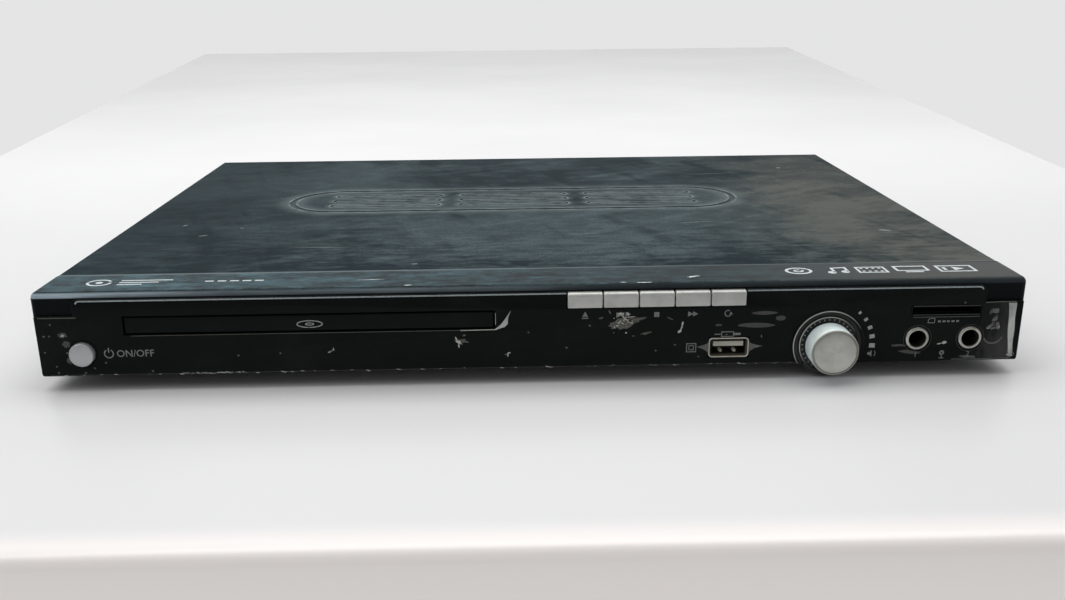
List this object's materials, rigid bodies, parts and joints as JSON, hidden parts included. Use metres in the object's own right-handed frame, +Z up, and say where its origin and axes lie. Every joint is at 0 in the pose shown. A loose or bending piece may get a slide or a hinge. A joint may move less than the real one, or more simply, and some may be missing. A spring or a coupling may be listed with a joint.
{
  "type": "dvd player",
  "caption": "Slim black disc player with a front tray, silver keys, a round volume knob, card slot, USB port and microphone sockets.",
  "frame": {"origin": "centre of the overall box, on the table under the feet", "axes": "+X to the viewer's right along the front, +Y to the back, +Z up; the front faces -Y"},
  "size_m": [0.3662, 0.2872, 0.0376],
  "materials": {
    "case_steel": "dark blue-grey paint, dusty satin",
    "bezel_plastic": "dark grey satin moulding, worn and dusty",
    "fascia_plastic": "black gloss panel, scratched",
    "foot_rubber": "black",
    "screw_steel": "zinc plated, dulled",
    "key_plastic": "silver painted",
    "button_plastic": "silver painted",
    "knob_metal": "silver plating over plastic",
    "spun_face": "spun face",
    "ring_chrome": "plated rim",
    "socket_steel": "plated sheet",
    "tongue_plastic": "white",
    "black_plastic": "moulded",
    "mechanism_plastic": "black moulding",
    "gear_plastic": "natural white",
    "board_green": "lacquered board",
    "board_tan": "phenolic board",
    "belt_rubber": "belt",
    "motor_steel": "drawn can",
    "magnet": "ferrite",
    "rod_steel": "ground",
    "lamp": "clear red",
    "dark_window": "infrared filter",
    "ferrite": "ferrite and tape",
    "cap_sleeve": "sleeve",
    "chip_black": "package",
    "cable_white": "flat cable"
  },
  "bodies": {
    "case": {"base_pan": "case_steel", "top_cover": "case_steel", "front_bezel": "bezel_plastic", "fascia": "fascia_plastic", "rubber_feet": "foot_rubber", "cover_screws": "screw_steel", "inner_screws": "screw_steel", "key_switches": "black_plastic", "key_board": "board_tan", "ir_receiver": "dark_window", "power_switch": "black_plastic", "power_led": "lamp", "volume_pot": "motor_steel", "knob_ring": "ring_chrome", "usb_shell": "socket_steel", "usb_tongue": "tongue_plastic", "mic_jacks": "black_plastic", "jack_rings": "ring_chrome", "card_socket": "black_plastic", "control_board": "board_tan", "loader_frame": "mechanism_plastic", "clamp_bridge": "mechanism_plastic", "loading_motor": "motor_steel", "loading_belt": "belt_rubber", "power_board": "board_tan", "main_board": "board_green", "power_transformer": "ferrite", "board_capacitors": "cap_sleeve", "decoder_chips": "chip_black", "rca_block": "black_plastic", "rca_shells": "socket_steel", "mains_inlet": "black_plastic", "flat_cables": "cable_white"},
    "eject_key": {"eject_key": "key_plastic"},
    "play_key": {"play_key": "key_plastic"},
    "stop_key": {"stop_key": "key_plastic"},
    "scan_key": {"scan_key": "key_plastic"},
    "reset_key": {"reset_key": "key_plastic"},
    "power_button": {"power_button": "button_plastic"},
    "volume_control": {"volume_knob": "knob_metal", "knob_cap": "spun_face", "pot_shaft": "motor_steel"},
    "tray": {"disc_tray": "mechanism_plastic", "tray_door": "fascia_plastic"},
    "clamper": {"clamper": "gear_plastic", "clamper_magnet": "magnet"},
    "motor_pulley": {"motor_pulley": "gear_plastic"},
    "pulley_gear": {"pulley_gear": "gear_plastic"},
    "drive_gear": {"drive_gear": "gear_plastic"},
    "cam_slider": {"cam_slider": "gear_plastic"},
    "deck": {"deck": "mechanism_plastic", "guide_rods": "rod_steel", "spindle_motor": "motor_steel", "sled_motor": "motor_steel"},
    "turntable": {"turntable": "mechanism_plastic"},
    "sled": {"sled": "mechanism_plastic"},
    "lens_carrier": {"lens_carrier": "dark_window"},
    "sled_pinion": {"sled_pinion": "gear_plastic"},
    "sled_gear": {"sled_gear": "gear_plastic"}
  },
  "joints": [
    {"name": "eject_key_press", "type": "slide", "parent": "case", "child": "eject_key", "axis": [0, 1, 0], "range_m": [0, 0.0006], "stiffness_N_per_m": 300},
    {"name": "play_key_press", "type": "slide", "parent": "case", "child": "play_key", "axis": [0, 1, 0], "range_m": [0, 0.0006], "stiffness_N_per_m": 300},
    {"name": "stop_key_press", "type": "slide", "parent": "case", "child": "stop_key", "axis": [0, 1, 0], "range_m": [0, 0.0006], "stiffness_N_per_m": 300},
    {"name": "scan_key_press", "type": "slide", "parent": "case", "child": "scan_key", "axis": [0, 1, 0], "range_m": [0, 0.0006], "stiffness_N_per_m": 300},
    {"name": "reset_key_press", "type": "slide", "parent": "case", "child": "reset_key", "axis": [0, 1, 0], "range_m": [0, 0.0006], "stiffness_N_per_m": 300},
    {"name": "power_button_press", "type": "slide", "parent": "case", "child": "power_button", "axis": [0, 1, 0], "range_m": [0, 0.0015], "stiffness_N_per_m": 400},
    {"name": "volume_turn", "type": "hinge", "parent": "case", "child": "volume_control", "pos_m": [0.1091, -0.1344, 0.01315], "axis": [0, 1, 0], "range_deg": [-150, 150]},
    {"name": "tray_slide", "type": "slide", "parent": "case", "child": "tray", "axis": [0, -1, 0], "range_m": [0, 0.132]},
    {"name": "drive_gear_turn", "type": "hinge", "parent": "case", "child": "drive_gear", "pos_m": [-0.0107, -0.1154, 0.016], "axis": [0, 0, 1], "range_deg": [0, 1352]},
    {"name": "pulley_gear_turn", "type": "hinge", "parent": "case", "child": "pulley_gear", "pos_m": [-0.0275, -0.1154, 0.016], "axis": [0, 0, 1], "range_deg": [-3380, 0]},
    {"name": "motor_pulley_turn", "type": "hinge", "parent": "case", "child": "motor_pulley", "pos_m": [-0.0591, -0.1154, 0.02], "axis": [0, 0, 1], "range_deg": [-10140, 0]},
    {"name": "deck_tilt", "type": "hinge", "parent": "case", "child": "deck", "pos_m": [-0.0816, 0.0236, 0.015], "axis": [1, 0, 0], "range_deg": [0, 2.8]},
    {"name": "cam_slide", "type": "slide", "parent": "case", "child": "cam_slider", "axis": [-1, 0, 0], "range_m": [0, 0.0221]},
    {"name": "disc_spin", "type": "hinge", "parent": "deck", "child": "turntable", "pos_m": [-0.0816, -0.0649, 0.02], "axis": [0, 0, 1], "continuous": true},
    {"name": "clamper_spin", "type": "hinge", "parent": "case", "child": "clamper", "pos_m": [-0.0816, -0.0649, 0.03], "axis": [0, 0, 1], "continuous": true},
    {"name": "sled_slide", "type": "slide", "parent": "deck", "child": "sled", "axis": [0, 1, 0], "range_m": [0, 0.034]},
    {"name": "lens_focus", "type": "slide", "parent": "sled", "child": "lens_carrier", "axis": [0, 0, 1], "range_m": [-0.0004, 0.0004], "stiffness_N_per_m": 40},
    {"name": "sled_gear_turn", "type": "hinge", "parent": "deck", "child": "sled_gear", "pos_m": [-0.0505, -0.0104, 0.018], "axis": [0, 0, 1], "range_deg": [-543, 0]},
    {"name": "sled_pinion_turn", "type": "hinge", "parent": "deck", "child": "sled_pinion", "pos_m": [-0.04051, -0.00715, 0.021], "axis": [0, 0, 1], "range_deg": [0, 1356]}
  ],
  "couplings": [
    {"joint": "drive_gear_turn", "follows": "tray_slide", "rad_per_m": 178.57},
    {"joint": "pulley_gear_turn", "follows": "tray_slide", "rad_per_m": -446.43},
    {"joint": "motor_pulley_turn", "follows": "tray_slide", "rad_per_m": -1339.3},
    {"joint": "cam_slide", "follows": "deck_tilt", "m_per_rad": 0.45018},
    {"joint": "clamper_spin", "follows": "disc_spin", "ratio": 1},
    {"joint": "sled_gear_turn", "follows": "sled_slide", "rad_per_m": -277.78},
    {"joint": "sled_pinion_turn", "follows": "sled_slide", "rad_per_m": 694.44}
  ]
}
